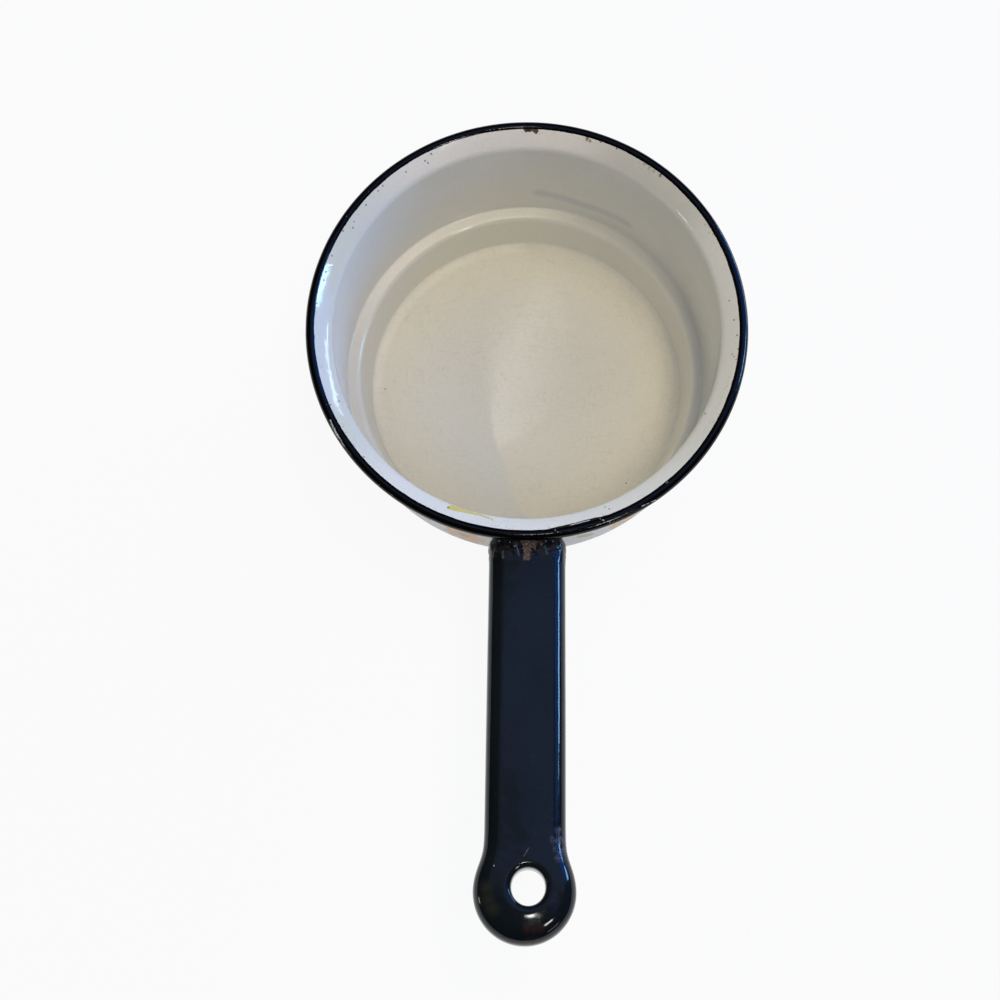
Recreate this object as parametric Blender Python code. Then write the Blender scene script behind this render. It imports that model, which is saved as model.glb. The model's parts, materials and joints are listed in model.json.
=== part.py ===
"""Insert pan of an enamelled steel double boiler.

A stepped vessel drawn from one sheet, a rolled rim bead, and a hollow handle of two
pressed shells that is held by a welded bracket. Metres, +Z up. The origin is on the
pan's axis at the underside of its base, and the handle points along -Y.
"""

import math

import bmesh
import bpy

MM = 0.001

# Vessel
SHEET = 1.4 * MM
CLEARANCE = 0.3 * MM
RIM_RADIUS = 90.0 * MM
RIM_HEIGHT = 83.0 * MM
BEAD_DIAMETER = 4.5 * MM
LIP_SLOPE = math.radians(42.0)
LIP_BEND_RADIUS = 8.0 * MM
UPPER_INNER_RADIUS = 79.8 * MM
LOWER_INNER_RADIUS = 74.0 * MM
LOWER_TAPER = math.radians(11.0)
STEP_HEIGHT = 21.5 * MM
STEP_CORNER_RADIUS = 1.2 * MM
STEP_EDGE_RADIUS = 2.5 * MM
BASE_CORNER_RADIUS = 3.0 * MM

# Handle
HANDLE_DROP = 2.75 * MM
HANDLE_RISE = math.radians(5.0)
HANDLE_WIDTH = 30.7 * MM
HANDLE_DEPTH = 11.0 * MM
HANDLE_LENGTH = 161.8 * MM
HANDLE_EDGE_RADIUS = 4.5 * MM
ROOT_WIDTH = 27.8 * MM
SHOULDER_START = 5.5 * MM
SHOULDER_LENGTH = 3.0 * MM
EYE_RADIUS = 19.4 * MM
NECK_RADIUS = 17.5 * MM
HOLE_DIAMETER = 13.0 * MM
HOLE_INSET = 21.2 * MM
HOLE_SIDE_SHIFT = 1.0 * MM
HOLE_EDGE_RADIUS = 3.2 * MM
TRAY_DEPTH = 4.0 * MM
TRAY_EDGE_RADIUS = 2.0 * MM

# Bracket and weld
BRACKET_THICKNESS = 1.8 * MM
BRACKET_WIDTH = 16.0 * MM
BRACKET_REACH = 38.0 * MM
BRACKET_BEND_RADIUS = 2.4 * MM
WELD_LEG = 2.2 * MM
WELD_TOE = 0.6 * MM

# Fineness of the round forms
TURN_STEPS = 72
ARC_STEP = math.radians(18.0)
BEAD_STEP = math.radians(22.5)
EDGE_STEPS = 4
SHOULDER_STEPS = 6
NECK_STEPS = 5
EYE_STEPS = 16
HOLE_STEPS = 28
MERGE_DISTANCE = 0.01 * MM
SHARP_ANGLE = math.radians(35.0)

BEAD_RADIUS = BEAD_DIAMETER / 2
UPPER_OUTER_RADIUS = UPPER_INNER_RADIUS + SHEET
HALF_WIDTH = HANDLE_WIDTH / 2
HALF_ROOT = ROOT_WIDTH / 2
HOLE_RADIUS = HOLE_DIAMETER / 2
HOLE_CENTRE = (HOLE_SIDE_SHIFT, HOLE_INSET - HANDLE_LENGTH)


def clear_scene():
    for item in list(bpy.data.objects):
        bpy.data.objects.remove(item, do_unlink=True)


def enamel(name, colour, roughness, metallic=0.0):
    material = bpy.data.materials.new(name)
    material.use_nodes = True
    shader = material.node_tree.nodes["Principled BSDF"]
    shader.inputs["Base Color"].default_value = (*colour, 1.0)
    shader.inputs["Roughness"].default_value = roughness
    shader.inputs["Metallic"].default_value = metallic
    return material


def link(name, mesh, material=None, parent=None):
    item = bpy.data.objects.new(name, mesh)
    bpy.context.scene.collection.objects.link(item)
    item.parent = parent
    if material:
        mesh.materials.append(material)
    return item


def rounded_path(corners):
    """Points along a path of (x, z, radius) corners, each corner turned into an arc."""
    points = [corners[0][:2]]
    for before, corner, after in zip(corners, corners[1:], corners[2:]):
        x, z, radius = corner
        into = (x - before[0], z - before[1])
        out = (after[0] - x, after[1] - z)
        heading_in = math.atan2(into[1], into[0])
        heading_out = math.atan2(out[1], out[0])
        turn = (heading_out - heading_in + math.pi) % (2 * math.pi) - math.pi
        side = math.copysign(1.0, turn)
        reach = radius * math.tan(abs(turn) / 2)
        start = (x - reach * math.cos(heading_in), z - reach * math.sin(heading_in))
        centre = (
            start[0] - side * radius * math.sin(heading_in),
            start[1] + side * radius * math.cos(heading_in),
        )
        steps = max(2, math.ceil(abs(turn) / ARC_STEP))
        for step in range(steps + 1):
            heading = heading_in + turn * step / steps
            points.append((
                centre[0] + side * radius * math.sin(heading),
                centre[1] - side * radius * math.cos(heading),
            ))
    points.append(corners[-1][:2])
    return points


def turned(name, profile, closed, material=None):
    """A solid of revolution. The profile runs down its outer side."""
    mesh = bpy.data.meshes.new(name)
    count = len(profile)
    last = count if closed else count - 1
    edges = [(index, (index + 1) % count) for index in range(last)]
    mesh.from_pydata([(x, 0.0, z) for x, z in profile], edges, [])
    item = link(name, mesh, material)
    screw = item.modifiers.new("turn", "SCREW")
    screw.axis = "Z"
    screw.steps = TURN_STEPS
    screw.render_steps = TURN_STEPS
    screw.use_merge_vertices = True
    screw.merge_threshold = MERGE_DISTANCE
    screw.use_smooth_shade = True
    return item


def lip_end(depth):
    """The point at the lip's free edge, at a depth below its inner surface."""
    centre = RIM_RADIUS - BEAD_RADIUS
    rise = BEAD_RADIUS - depth
    return (
        centre - rise * math.sin(LIP_SLOPE),
        RIM_HEIGHT + rise * math.cos(LIP_SLOPE),
    )


def wall_corners(depth):
    """Corners from the lip's edge down to the base, at a depth below the inner surface.

    The lower wall leans in towards the base, so a depth square to it moves its upper
    corner out by less than that depth.
    """
    edge = lip_end(depth)
    wall = UPPER_INNER_RADIUS + depth
    bend = edge[1] - (edge[0] - wall) * math.tan(LIP_SLOPE)
    lower_top = LOWER_INNER_RADIUS + depth * (1 - math.sin(LOWER_TAPER)) / math.cos(LOWER_TAPER)
    lower_bottom = lower_top - (STEP_HEIGHT - SHEET) * math.tan(LOWER_TAPER)
    return [
        (*edge, 0.0),
        (wall, bend, LIP_BEND_RADIUS - depth),
        (wall, STEP_HEIGHT - depth, STEP_CORNER_RADIUS + depth),
        (lower_top, STEP_HEIGHT - depth, STEP_EDGE_RADIUS - depth),
        (lower_bottom, SHEET - depth, BASE_CORNER_RADIUS + depth),
        (0.0, SHEET - depth, 0.0),
    ]


def handle_height():
    """Height of the handle's top at the wall: under the lip, and clear of the bead."""
    lip_corner = wall_corners(SHEET)[1][1]
    under_bead = RIM_HEIGHT - BEAD_RADIUS - WELD_LEG - 2 * CLEARANCE
    return min(lip_corner, under_bead) - HANDLE_DROP


def make_body():
    """Vessel: the inner skin from the base's centre to the lip, then the outer skin."""
    inner = rounded_path(wall_corners(0.0))[::-1]
    outer = rounded_path(wall_corners(SHEET))
    colour = (0.80, 0.78, 0.72)
    turned("pan_body", inner + outer, False, enamel("white_enamel", colour, 0.18))


def make_bead():
    """Rolled rim: a round bead with a rebate under the lip's edge.

    Angles run from the lip's outward normal. The steps between the ends of the arc are
    counted from the bead's top, which puts points at its top and its outermost edge.
    """
    floor = BEAD_RADIUS - SHEET - CLEARANCE
    start = math.asin(CLEARANCE / BEAD_RADIUS)
    end = 2 * math.pi - math.acos(floor / BEAD_RADIUS)
    first = math.ceil((start - LIP_SLOPE) / BEAD_STEP)
    last = math.floor((end - LIP_SLOPE) / BEAD_STEP)
    between = [LIP_SLOPE + BEAD_STEP * step for step in range(first, last + 1)]
    section = [
        (BEAD_RADIUS * math.sin(angle), BEAD_RADIUS * math.cos(angle))
        for angle in [start, *between, end]
    ]
    section.append((CLEARANCE, floor))
    # Each point is (along the lip, out of the lip), turned by the lip's slope.
    along = (math.cos(LIP_SLOPE), math.sin(LIP_SLOPE))
    profile = [
        (
            RIM_RADIUS - BEAD_RADIUS + u * along[0] - v * along[1],
            RIM_HEIGHT + u * along[1] + v * along[0],
        )
        for u, v in section
    ]
    turned("rim_bead", profile, True, enamel("black_rim", (0.010, 0.009, 0.008), 0.20))


def make_wall_cutter():
    """The vessel's outer form with the clearance added, to trim what meets the wall."""
    profile = rounded_path(wall_corners(SHEET + CLEARANCE))
    top = (0.0, profile[0][1])
    cutter = turned("wall_cutter", [top] + profile, False)
    cutter.hide_render = True
    cutter.display_type = "WIRE"
    return cutter


def trim(item, cutter):
    boolean = item.modifiers.new("meet the wall", "BOOLEAN")
    boolean.operation = "DIFFERENCE"
    boolean.solver = "EXACT"
    boolean.object = cutter


def handle_outline(inset):
    """Plan of the handle, drawn in by an inset: root, shoulders, shank, neck and eye."""
    half = HALF_WIDTH - inset
    root = HALF_ROOT - inset
    eye = EYE_RADIUS - inset
    neck = NECK_RADIUS + inset
    eye_y = EYE_RADIUS - HANDLE_LENGTH
    spread = half + neck
    lean = math.acos(spread / (eye + neck))
    neck_y = eye_y + (eye + neck) * math.sin(lean)

    side = [(root, 2 * SHEET + LIP_BEND_RADIUS - inset)]
    for step in range(SHOULDER_STEPS + 1):
        share = step / SHOULDER_STEPS
        x = root + (half - root) * (1 - math.cos(math.pi * share)) / 2
        side.append((x, -SHOULDER_START - SHOULDER_LENGTH * share))
    for step in range(NECK_STEPS):
        angle = lean * step / NECK_STEPS
        side.append((spread - neck * math.cos(angle), neck_y - neck * math.sin(angle)))
    for step in range(EYE_STEPS):
        angle = lean - (lean + math.pi / 2) * step / EYE_STEPS
        side.append((eye * math.cos(angle), eye_y + eye * math.sin(angle)))
    tip = [(0.0, eye_y - eye)]
    return side + tip + [(-x, y) for x, y in reversed(side)]


def ring(mesh, points, z):
    return [mesh.verts.new((x, y, z)) for x, y in points]


def hole_outline(radius):
    points = []
    for step in range(HOLE_STEPS):
        angle = 2 * math.pi * step / HOLE_STEPS
        x = HOLE_CENTRE[0] + radius * math.cos(angle)
        y = HOLE_CENTRE[1] + radius * math.sin(angle)
        points.append((x, y))
    return points


def join_rings(mesh, rings):
    for first, second in zip(rings, rings[1:]):
        count = len(first)
        for index in range(count):
            after = (index + 1) % count
            mesh.faces.new((first[index], first[after], second[after], second[index]))


def ring_edges(mesh, loop):
    return [mesh.edges.get((loop[i], loop[i - 1])) for i in range(len(loop))]


def pressed_shell(name, inset, edge_radius, hole_radius, hole_edge, face, rim, material, parent):
    """A pressed tray with rounded edges and a collared hole.

    Its flat face lies at one height and its open rim at another, and both its outer edge
    and its hole turn from the face towards the rim.
    """
    way = math.copysign(1.0, rim - face)
    mesh = bmesh.new()

    def edge_rings(depth, points_at, start_radius):
        rings = []
        for step in range(EDGE_STEPS + 1):
            angle = math.pi / 2 * step / EDGE_STEPS
            radius = start_radius - depth
            offset = depth + radius * (1 - math.sin(angle))
            drop = depth + radius * (1 - math.cos(angle))
            rings.append(ring(mesh, points_at(offset), face + way * drop))
        rings.append(ring(mesh, points_at(depth), rim))
        return rings

    def outer_edge(offset):
        return handle_outline(inset + offset)

    def hole(offset):
        return hole_outline(hole_radius + offset)

    outside = edge_rings(0.0, outer_edge, edge_radius)
    inside = edge_rings(SHEET, outer_edge, edge_radius)
    bore = edge_rings(0.0, hole, hole_edge)
    collar = edge_rings(SHEET, hole, hole_edge)
    join_rings(mesh, outside + inside[::-1])
    join_rings(mesh, bore + collar[::-1])
    for edge, eye in ((outside[0], bore[0]), (inside[0], collar[0])):
        borders = ring_edges(mesh, edge) + ring_edges(mesh, eye)
        bmesh.ops.triangle_fill(mesh, use_beauty=True, edges=borders)
    bmesh.ops.recalc_face_normals(mesh, faces=mesh.faces)
    data = bpy.data.meshes.new(name)
    mesh.to_mesh(data)
    mesh.free()
    return link(name, data, material, parent)


def make_handle(root, cutter):
    black = enamel("navy_black_enamel", (0.012, 0.016, 0.024), 0.22)
    under = enamel("black_enamel", (0.010, 0.010, 0.011), 0.30)
    top = pressed_shell(
        "handle_top", 0.0, HANDLE_EDGE_RADIUS, HOLE_RADIUS, HOLE_EDGE_RADIUS,
        0.0, -HANDLE_DEPTH, black, root,
    )
    nested = SHEET + CLEARANCE
    bottom = pressed_shell(
        "handle_bottom", nested, TRAY_EDGE_RADIUS, HOLE_RADIUS + nested, TRAY_EDGE_RADIUS,
        -HANDLE_DEPTH, TRAY_DEPTH - HANDLE_DEPTH, under, root,
    )
    for shell in (top, bottom):
        trim(shell, cutter)


def make_bracket(root, cutter):
    """Bent strip inside the handle's root: a tongue under the top and a foot on the wall."""
    high = -SHEET - CLEARANCE
    low = high - BRACKET_THICKNESS
    foot_end = TRAY_DEPTH - HANDLE_DEPTH + CLEARANCE
    foot_face = -CLEARANCE - BRACKET_THICKNESS
    behind = UPPER_OUTER_RADIUS - math.sqrt(UPPER_OUTER_RADIUS**2 - (BRACKET_WIDTH / 2) ** 2)
    behind += HANDLE_DEPTH * math.tan(HANDLE_RISE) + CLEARANCE
    side = rounded_path([
        (behind, foot_end, 0.0),
        (behind, high, 0.0),
        (-BRACKET_REACH, high, 0.0),
        (-BRACKET_REACH, low, 0.0),
        (foot_face, low, BRACKET_BEND_RADIUS - BRACKET_THICKNESS),
        (foot_face, foot_end, 0.0),
    ])
    mesh = bmesh.new()
    profile = [mesh.verts.new((-BRACKET_WIDTH / 2, y, z)) for y, z in side]
    bmesh.ops.remove_doubles(mesh, verts=profile, dist=MERGE_DISTANCE)
    face = mesh.faces.new(mesh.verts)
    sweep = bmesh.ops.extrude_face_region(mesh, geom=[face])
    moved = [item for item in sweep["geom"] if isinstance(item, bmesh.types.BMVert)]
    bmesh.ops.translate(mesh, verts=moved, vec=(BRACKET_WIDTH, 0.0, 0.0))
    bmesh.ops.recalc_face_normals(mesh, faces=mesh.faces)
    data = bpy.data.meshes.new("handle_bracket")
    mesh.to_mesh(data)
    mesh.free()
    steel = enamel("bracket_steel", (0.020, 0.020, 0.021), 0.45, 0.2)
    trim(link("handle_bracket", data, steel, root), cutter)


def section_outline(grow):
    """Cross-section of the handle's root as (x, z), grown on every side."""
    half = HALF_ROOT + grow
    top = grow
    bottom = -HANDLE_DEPTH - grow
    radius = HANDLE_EDGE_RADIUS + grow
    corners = [
        (0.0, bottom, 0.0),
        (half, bottom, grow),
        (half, top, radius),
        (-half, top, radius),
        (-half, bottom, grow),
        (0.0, bottom, 0.0),
    ]
    return rounded_path(corners)[:-1]


def make_weld(root, cutter):
    """Fillet weld all round the handle's root, where it meets the wall."""
    mesh = bmesh.new()
    inner = section_outline(CLEARANCE)
    wide = section_outline(CLEARANCE + WELD_LEG)
    toe = section_outline(CLEARANCE + WELD_TOE)
    back = HALF_ROOT**2 / UPPER_OUTER_RADIUS + HANDLE_DEPTH * math.tan(HANDLE_RISE)
    loops = []
    for outline, y in ((inner, back), (wide, back), (wide, -WELD_TOE), (toe, -WELD_LEG)):
        loops.append([mesh.verts.new((x, y, z)) for x, z in outline])
    loops.append([mesh.verts.new((x, -WELD_LEG, z)) for x, z in inner])
    join_rings(mesh, loops + loops[:1])
    bmesh.ops.recalc_face_normals(mesh, faces=mesh.faces)
    data = bpy.data.meshes.new("root_weld")
    mesh.to_mesh(data)
    mesh.free()
    finish = enamel("weld_enamel", (0.016, 0.015, 0.014), 0.35)
    trim(link("root_weld", data, finish, root), cutter)


def smooth_all():
    for item in bpy.data.objects:
        if item.type == "MESH":
            item.data.shade_smooth()
            item.data.set_sharp_from_angle(angle=SHARP_ANGLE)


clear_scene()
make_body()
make_bead()
wall_cutter = make_wall_cutter()
handle_root = bpy.data.objects.new("handle_root", None)
bpy.context.scene.collection.objects.link(handle_root)
handle_root.location = (0.0, -UPPER_OUTER_RADIUS, handle_height())
handle_root.rotation_euler = (-HANDLE_RISE, 0.0, 0.0)
make_handle(handle_root, wall_cutter)
make_bracket(handle_root, wall_cutter)
make_weld(handle_root, wall_cutter)
smooth_all()
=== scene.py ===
import json
import math

import bmesh
import bpy
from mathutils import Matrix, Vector

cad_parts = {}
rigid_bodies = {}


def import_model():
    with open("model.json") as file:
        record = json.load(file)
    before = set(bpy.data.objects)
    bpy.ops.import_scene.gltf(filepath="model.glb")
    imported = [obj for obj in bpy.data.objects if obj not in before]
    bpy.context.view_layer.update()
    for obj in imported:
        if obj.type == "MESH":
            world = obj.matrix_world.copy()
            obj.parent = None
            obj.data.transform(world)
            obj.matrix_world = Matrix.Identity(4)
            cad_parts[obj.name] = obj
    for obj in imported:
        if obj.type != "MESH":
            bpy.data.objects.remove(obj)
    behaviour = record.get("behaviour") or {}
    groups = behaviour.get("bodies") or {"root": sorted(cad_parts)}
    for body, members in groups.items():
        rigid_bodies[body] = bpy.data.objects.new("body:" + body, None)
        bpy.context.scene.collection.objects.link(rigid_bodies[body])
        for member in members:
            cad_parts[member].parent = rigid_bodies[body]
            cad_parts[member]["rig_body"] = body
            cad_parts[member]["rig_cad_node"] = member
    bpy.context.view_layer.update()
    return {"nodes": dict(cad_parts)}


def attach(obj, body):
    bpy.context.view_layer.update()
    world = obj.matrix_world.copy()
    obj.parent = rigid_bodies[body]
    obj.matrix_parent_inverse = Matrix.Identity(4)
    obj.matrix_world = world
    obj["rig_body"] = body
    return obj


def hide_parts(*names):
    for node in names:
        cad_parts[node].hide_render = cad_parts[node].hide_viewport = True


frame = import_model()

# Camera and light. The camera stands over the handle's side and looks down into the pan.
# Broad soft panels light the enamel evenly, the brightest of them overhead. What shows on the
# gloss comes from others, which stand for the ceiling, the sky, two windows and small lamps.
bpy.context.scene.view_settings.view_transform = "Standard"
bpy.ops.object.camera_add(
    location=(-0.0022, -0.2154, 0.6582),
    rotation=(math.radians(13.847), math.radians(0.730), math.radians(0.3285)),
)
camera = bpy.context.object
camera.name = "camera"
camera.data.lens = 54.0
camera.data.sensor_width = 36.0
bpy.context.scene.camera = camera

LAMP_DISTANCE = 1.5
LAMP_AIM = Vector((0.0, -0.03, 0.05))


def soft_panel(name, turn, lift, size, glow, shines):
    """A panel that faces the pan. turn is in degrees from +Y towards +X, lift above the table.

    size is its width and height, and glow the strength of its red, green and blue. A panel
    that shines shows in the gloss alone, and the others only light.
    """
    turn, lift = math.radians(turn), math.radians(lift)
    away = Vector(
        (math.sin(turn) * math.cos(lift), math.cos(turn) * math.cos(lift), math.sin(lift))
    )
    bpy.ops.object.light_add(type="AREA", location=LAMP_AIM + away * LAMP_DISTANCE)
    lamp = bpy.context.object
    lamp.name = name
    lamp.rotation_euler = away.to_track_quat("Z", "Y").to_euler()
    lamp.visible_camera = False
    lamp.visible_glossy = shines
    lamp.visible_diffuse = not shines
    lamp.data.shape = "RECTANGLE"
    lamp.data.size, lamp.data.size_y = size
    brightest = max(glow)
    lamp.data.energy = math.pi * size[0] * size[1] * brightest
    lamp.data.color = [part / brightest for part in glow]


soft_panel("panel_above", 90.0, 78.7, (0.90, 0.30), (10.5, 9.3, 7.0), False)
soft_panel("panel_near", 180.0, 64.0, (0.67, 0.46), (2.4, 2.3, 2.0), False)
soft_panel("panel_far_right", 50.0, 19.0, (1.00, 0.46), (2.5, 4.3, 8.8), False)
soft_panel("panel_right", 90.0, 28.0, (1.00, 0.46), (0.8, 1.3, 3.4), False)
soft_panel("panel_far_left", 315.0, 28.0, (1.00, 0.46), (2.6, 2.5, 1.9), False)
soft_panel("ceiling", 10.0, 73.0, (1.10, 1.10), (0.10, 0.12, 0.16), True)
soft_panel("ceiling_middle", 30.0, 71.0, (0.90, 1.10), (0.07, 0.10, 0.19), True)
soft_panel("ceiling_right", 48.0, 68.0, (0.90, 1.10), (0.05, 0.10, 0.32), True)
soft_panel("sky", 62.0, 30.0, (0.95, 1.34), (0.01, 0.52, 2.6), True)
soft_panel("window", 57.0, 3.5, (0.70, 0.14), (8.0, 11.0, 14.0), True)
soft_panel("window_right", 77.0, 27.5, (0.30, 0.25), (7.5, 15.0, 22.5), True)
soft_panel("strip_right", 145.0, 16.0, (0.30, 0.05), (9.0, 8.8, 8.2), True)
soft_panel("lamp_right", 146.0, 50.0, (0.17, 0.24), (24.0, 23.5, 22.0), True)
soft_panel("strip_left", 252.0, 12.0, (0.18, 0.06), (26.0, 25.0, 23.0), True)
soft_panel("lamp_near", 168.0, 80.0, (0.10, 0.07), (50.0, 49.0, 46.0), True)


# Floor and backdrop: a plain pale table top in a pale room. The floor shows white to the
# camera and in reflections, still takes the pan's soft shadow, and can be looked through
# from below. The room lights dimly, shows white, and leaves the gloss to the panels.
class Wire:
    """One socket of a material's node tree, on which maths is written plainly."""

    def __init__(self, graph, socket=None):
        self.graph = graph
        self.socket = socket

    def node(self, kind, sockets=None, output=0, stops=None, **settings):
        """Adds a node by its type, its settings, and its sockets' values or links."""
        added = self.graph.nodes.new(kind)
        for name, value in settings.items():
            setattr(added, name, value)
        if stops:
            while len(added.color_ramp.elements) < len(stops):
                added.color_ramp.elements.new(0.5)
            for element, (place, shade) in zip(added.color_ramp.elements, stops):
                element.position = place
                element.color = (*shade, 1.0)
        for name, value in (sockets or {}).items():
            if isinstance(value, Wire):
                self.graph.links.new(value.socket, added.inputs[name])
            elif added.inputs[name].type == "RGBA" and len(value) == 3:
                added.inputs[name].default_value = (*value, 1.0)
            else:
                added.inputs[name].default_value = value
        return Wire(self.graph, added.outputs[output])

    def maths(self, operation, *values, clamp=False):
        sockets = dict(enumerate(values))
        return self.node("ShaderNodeMath", sockets, operation=operation, use_clamp=clamp)

    def __add__(self, other):
        return self.maths("ADD", self, other)

    __radd__ = __add__

    def __sub__(self, other):
        return self.maths("SUBTRACT", self, other)

    def __rsub__(self, other):
        return self.maths("SUBTRACT", other, self)

    def __mul__(self, other):
        return self.maths("MULTIPLY", self, other)

    __rmul__ = __mul__

    def __truediv__(self, other):
        return self.maths("DIVIDE", self, other)

    def step(self, low, high):
        """0 below low and 1 above high, with a smooth way between; low may be above high."""
        return self.node(
            "ShaderNodeMapRange",
            {"Value": self, "From Min": low, "From Max": high},
            interpolation_type="SMOOTHSTEP",
        )

    def blend(self, first, second):
        """A colour between two, with this as the share of the second."""
        return self.node(
            "ShaderNodeMix", {"Factor": self, 6: first, 7: second}, output=2, data_type="RGBA"
        )

    def noise(self, scale, detail=2.0, roughness=0.5, stretch=(1.0, 1.0, 1.0)):
        """Cloudy values about 0.5 over this position."""
        placed = self.node("ShaderNodeMapping", {"Vector": self, "Scale": stretch})
        return self.node(
            "ShaderNodeTexNoise",
            {"Vector": placed, "Scale": scale, "Detail": detail, "Roughness": roughness},
        )

    def vector(self, operation, other, output=0):
        """Vector maths on this position and another."""
        sockets = {0: self, 1: other}
        return self.node("ShaderNodeVectorMath", sockets, output=output, operation=operation)

    def shaken(self, scale, amount):
        """This position, shaken by a fine cloud, which gives marks a ragged edge."""
        cloud = self.node("ShaderNodeTexNoise", {"Vector": self, "Scale": scale}, output=1)
        shift = cloud.vector("SUBTRACT", (0.5, 0.5, 0.5))
        return self.vector("ADD", shift.vector("MULTIPLY", (amount, amount, amount)))

    def marks(self, points, size, soft=0.00015):
        """1 within a distance of any of the points, and 0 past a soft edge."""
        nearest = None
        for point in points:
            gap = self.vector("DISTANCE", point, output=1)
            nearest = gap if nearest is None else self.maths("MINIMUM", nearest, gap)
        return nearest.step(size, size - soft)


def finish(name):
    """A new material: its tree, its shader, and the position on the piece."""
    material = bpy.data.materials.new(name)
    material.use_nodes = True
    tree = Wire(material.node_tree)
    shader = material.node_tree.nodes["Principled BSDF"]
    place = tree.node("ShaderNodeTexCoord", output=3)
    return material, tree, shader, place


def feed(shader, name, wire):
    """Links a value or a colour to a socket of the shader, by the socket's name."""
    wire.graph.links.new(wire.socket, shader.inputs[name])


def seen_rays(tree):
    """1 for rays from the camera, off a gloss and through glass, and 0 for the others."""
    rays = tree.node("ShaderNodeLightPath").socket.node.outputs
    camera_ray = Wire(tree.graph, rays["Is Camera Ray"])
    glossy_ray = Wire(tree.graph, rays["Is Glossy Ray"])
    return camera_ray + glossy_ray + Wire(tree.graph, rays["Is Transmission Ray"])


FLOOR_SIZE = 6.0
FLOOR_HEIGHT = -0.0003
FLOOR_SHADE = (0.62, 0.62, 0.62, 1.0)
FLOOR_GLOW = 0.92
ROOM_DIM = (0.23, 0.26, 0.34)
ROOM_SEEN = (0.96, 0.96, 0.96)


bpy.ops.object.select_all(action="DESELECT")
bpy.ops.mesh.primitive_plane_add(size=FLOOR_SIZE, location=(0.0, 0.0, FLOOR_HEIGHT))
floor = bpy.context.object
floor.name = "floor"
floor_white, tree, shader, _ = finish("floor_white")
shader.inputs["Base Color"].default_value = FLOOR_SHADE
shader.inputs["Roughness"].default_value = 0.9
glow = tree.node("ShaderNodeEmission", {"Color": (1.0, 1.0, 1.0), "Strength": 1.0})
surface = Wire(tree.graph, shader.outputs["BSDF"])
share = seen_rays(tree) * FLOOR_GLOW
above = tree.node("ShaderNodeMixShader", {0: share, 1: surface, 2: glow})
clear = tree.node("ShaderNodeBsdfTransparent")
from_below = tree.node("ShaderNodeNewGeometry", output=6)
both = tree.node("ShaderNodeMixShader", {0: from_below, 1: above, 2: clear})
tree.graph.links.new(both.socket, tree.graph.nodes["Material Output"].inputs["Surface"])
floor.data.materials.append(floor_white)

room = bpy.data.worlds.new("room")
bpy.context.scene.world = room
room.use_nodes = True
room.cycles_visibility.glossy = False
tree = Wire(room.node_tree)
pale = seen_rays(tree).blend(ROOM_DIM, ROOM_SEEN)
tree.graph.links.new(pale.socket, tree.graph.nodes["Background"].inputs["Color"])


# Vessel: one sheet of steel drawn to a stepped bowl with a flared lip, and enamelled white
# on both sides. It is raised ring by ring from the disc of its base, its corners are
# rounded, and then the sheet gets its thickness.
def pick(kind, test):
    """In edit mode, selects only the vertices, edges or faces that lie wholly where asked."""
    bpy.ops.mesh.select_mode(type=kind)
    bpy.ops.mesh.select_all(action="DESELECT")
    mesh = bpy.context.object.data
    shape = bmesh.from_edit_mesh(mesh)
    parts = {"VERT": shape.verts, "EDGE": shape.edges, "FACE": shape.faces}[kind]
    for part in parts:
        points = [part.co] if kind == "VERT" else [corner.co for corner in part.verts]
        if all(test(point) for point in points):
            part.select_set(True)
    bmesh.update_edit_mesh(mesh)


def near(value, wanted, room=0.00002):
    return abs(value - wanted) < room


def reach(point):
    return math.hypot(point.x, point.y)


def grow_ring(radius, height, new_radius, new_height):
    """Extrudes the ring of edges at a radius and height to another radius and height."""
    pick("EDGE", lambda p: near(reach(p), radius) and near(p.z, height))
    bpy.ops.mesh.extrude_edges_move(
        TRANSFORM_OT_translate={"value": (0.0, 0.0, new_height - height)}
    )
    share = new_radius / radius
    bpy.ops.transform.resize(value=(share, share, 1.0))


def grow_arc(place, heading, turn, bend, parts):
    """Extrudes the selected ring along an arc, from a place (radius, height) in a heading.

    Angles are in degrees, and a turn below 0 leans outwards. Gives the arc's end.
    """
    radius, height = place
    for part in range(parts):
        angle = math.radians(heading + turn * (part + 0.5) / parts)
        length = 2 * bend * math.sin(math.radians(abs(turn)) / parts / 2)
        new_radius = radius + length * math.cos(angle)
        rise = length * math.sin(angle)
        bpy.ops.mesh.extrude_edges_move(TRANSFORM_OT_translate={"value": (0.0, 0.0, rise)})
        share = new_radius / radius
        bpy.ops.transform.resize(value=(share, share, 1.0))
        radius, height = new_radius, height + rise
    return radius, height


def round_ring(radius, height, offset, segments):
    """Rounds the corner that runs round the pan at a radius and height."""
    pick("EDGE", lambda p: near(reach(p), radius) and near(p.z, height))
    bpy.ops.mesh.bevel(offset=offset, segments=segments, profile=0.5)


SHEET = 0.0014
RING_POINTS = 192
BASE_RADIUS = 0.07009
BASE_ROUND = 0.00247
LOWER_RADIUS = 0.0740
WALL_RADIUS = 0.0798
OUTER_RADIUS = WALL_RADIUS + SHEET
STEP_HEIGHT = 0.0215
STEP_EDGE_ROUND = 0.00206
STEP_FOOT_ROUND = 0.0012
BEND_START = 0.07658
LIP_BEND = 0.005
LIP_BEND_TURN = 43.0
LIP_CROWN = 0.0415
LIP_CROWN_TURN = 9.5

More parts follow.
